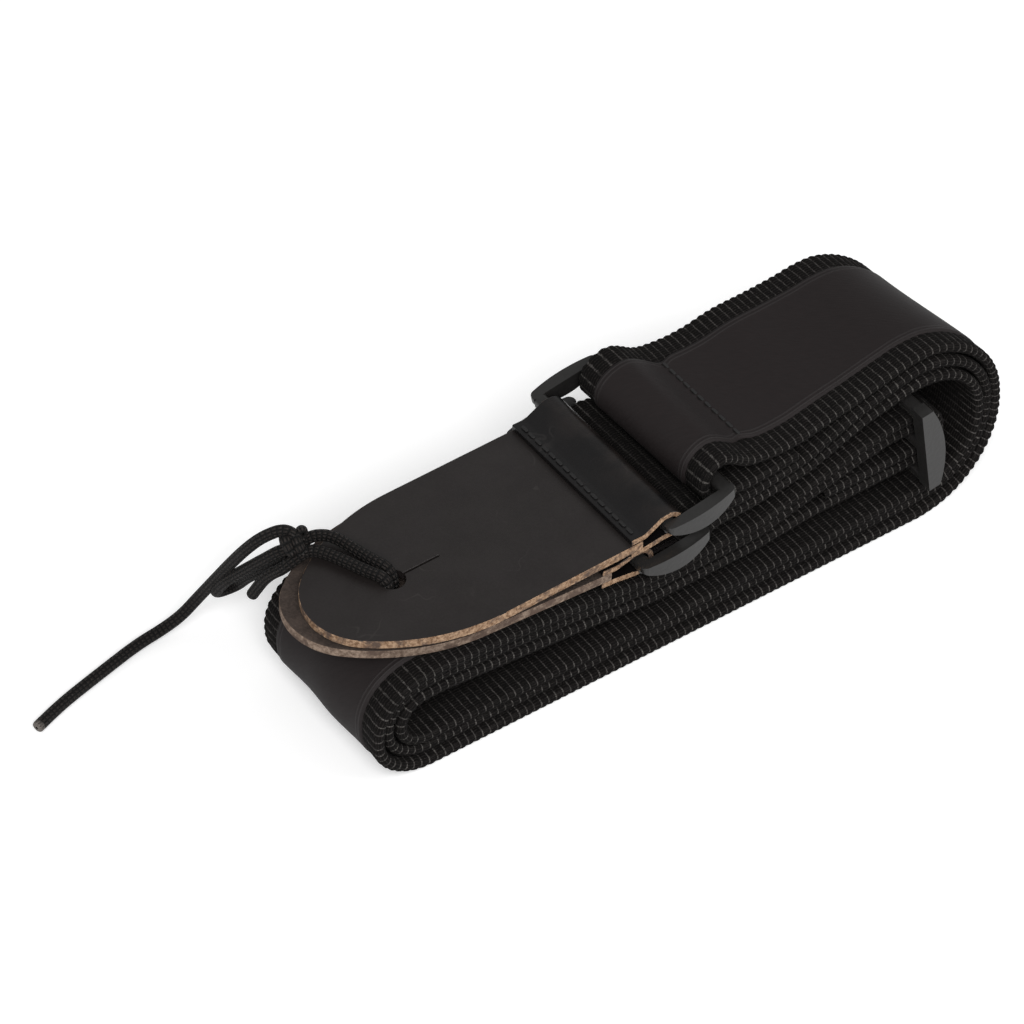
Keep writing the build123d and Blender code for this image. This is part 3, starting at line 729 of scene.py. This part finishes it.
def tube(name, route, width):
    """Round tube along the route with rounded ends, the route in equal steps, and its length.

    Each ring is turned from the last by the least turn between their ways.
    """
    ring_step, end_rounding, sides = 0.35, 0.5, 16
    route, steps = resampled(route, ring_step)
    way = np.gradient(route, axis=0)
    way /= np.linalg.norm(way, axis=1)[:, None]
    across = np.empty_like(way)
    across[0] = np.cross(way[0], (0.0, 0.0, 1.0)) + 1e-6
    for i in range(1, len(way)):
        across[i] = across[i - 1] - way[i] * (across[i - 1] @ way[i])
        across[i] /= np.linalg.norm(across[i])
    across[0] /= np.linalg.norm(across[0])
    up = np.cross(way, across)
    angle = np.linspace(0.0, 2 * pi, sides + 1)[:-1]
    to_end = np.clip(np.minimum(steps, steps[-1] - steps) / end_rounding, 0.03, 1.0)
    thick = width / 2 * np.sqrt(np.clip(1.0 - (1.0 - to_end) ** 2, 0.0, 1.0))
    spread = np.cos(angle)[None, :, None] * across[:, None] + np.sin(angle)[None, :, None] * up[:, None]
    points = route[:, None] + thick[:, None, None] * spread
    turns_round = np.linspace(0.0, 1.0, sides + 1)
    layer = (steps[:, None] / braid_length + 0 * turns_round, turns_round[None, :] + 0 * steps[:, None])
    return surface_mesh(name, points, {"braid": layer}, round_it=True), route, steps[-1]


far_strand = [
    (-69.2, -0.9, 33.0),
    (-69.4, -0.7, 38.6),
    (-71.5, 4.9, 38.6),
    (-73.2, 10.8, 38.8),
    (-75.2, 16.2, 39.5),
    (-78.6, 18.9, 39.4),
    (-81.6, 19.3, 38.5),
]
near_strand = [
    (-71.8, -2.7, 33.0),
    (-71.9, -2.8, 38.6),
    (-74.3, 1.8, 38.5),
    (-76.5, 7.2, 38.5),
    (-78.9, 12.6, 38.5),
    (-81.5, 16.2, 38.5),
]
bow = [
    (-84.9, 18.8, 38.7),
    (-87.1, 20.3, 38.0),
    (-89.5, 23.1, 34.5),
    (-91.6, 26.8, 30.0),
    (-93.6, 30.7, 25.2),
    (-95.4, 33.6, 21.5),
    (-96.4, 37.9, 14.4),
    (-89.5, 38.1, 13.1),
    (-88.7, 34.1, 18.8),
    (-88.3, 29.4, 23.8),
    (-86.6, 24.4, 30.0),
    (-84.5, 20.6, 34.6),
]
tail = [
    (-83.2, 19.3, 41.3),
    (-84.8, 22.2, 42.3),
    (-89.1, 24.8, 40.0),
    (-92.1, 27.6, 35.6),
    (-94.3, 32.4, 27.6),
    (-96.2, 38.0, 18.0),
    (-98.6, 41.8, 10.8),
    (-102.4, 43.4, 5.8),
    (-107.2, 45.0, 2.4),
    (-114.4, 44.8, 1.6),
    (-126.0, 41.8, 1.6),
    (-138.0, 38.6, 1.6),
    (-144.7, 36.2, 1.6),
    (-148.7, 34.6, 1.6),
]
short_end = [
    (-85.5, 17.0, 36.6),
    (-87.9, 18.5, 33.6),
    (-89.6, 21.5, 30.5),
    (-91.2, 23.7, 26.5),
    (-92.7, 25.6, 21.7),
]

# The knot is the lace wound about two and a half times round the place where the cords cross.
knot_centre = np.array([-83.7, 19.4, 38.8])
knot_way = np.array([-0.86, 0.42, -0.28])
knot_way /= np.linalg.norm(knot_way)
knot_up = np.cross(knot_way, np.cross((0.0, 0.0, 1.0), knot_way))
knot_side = np.cross(knot_way, knot_up / np.linalg.norm(knot_up))
knot_up = np.cross(knot_side, knot_way)
knot_turns, knot_run = 2.6, 5.6
angle = np.linspace(0.0, 2 * pi * knot_turns, 90)
radius = 2.2 + 0.25 * np.sin(1.7 * angle)
knot_route = (
    knot_centre
    + np.outer((angle / angle[-1] - 0.5) * knot_run, knot_way)
    + np.outer(radius * np.cos(angle), knot_up)
    + np.outer(radius * np.sin(angle), knot_side)
)
knot_mesh = tube("knot", knot_route, lace_width)[0]
knot = placed("lace_knot_wraps", knot_mesh, "upper_end", lace_material, "lace_knot")

for name, points, far_end, replaced, goes_with in (
    ("lace_short", near_strand + short_end, "bare", ("lace_near_strand", "lace_short_end"), ()),
    ("lace_long", far_strand + tail, "bare", ("lace_far_strand", "lace_tail"), (knot,)),
    ("lace_loop", bow, "object", ("lace_bow",), ()),
):
    mesh, route, length = tube(name, followed(name, points), lace_width)
    cord = placed(name, mesh, "upper_end", lace_material, *replaced)
    route[0] * 0.001
    length * 0.001
    route * 0.001


low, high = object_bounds()
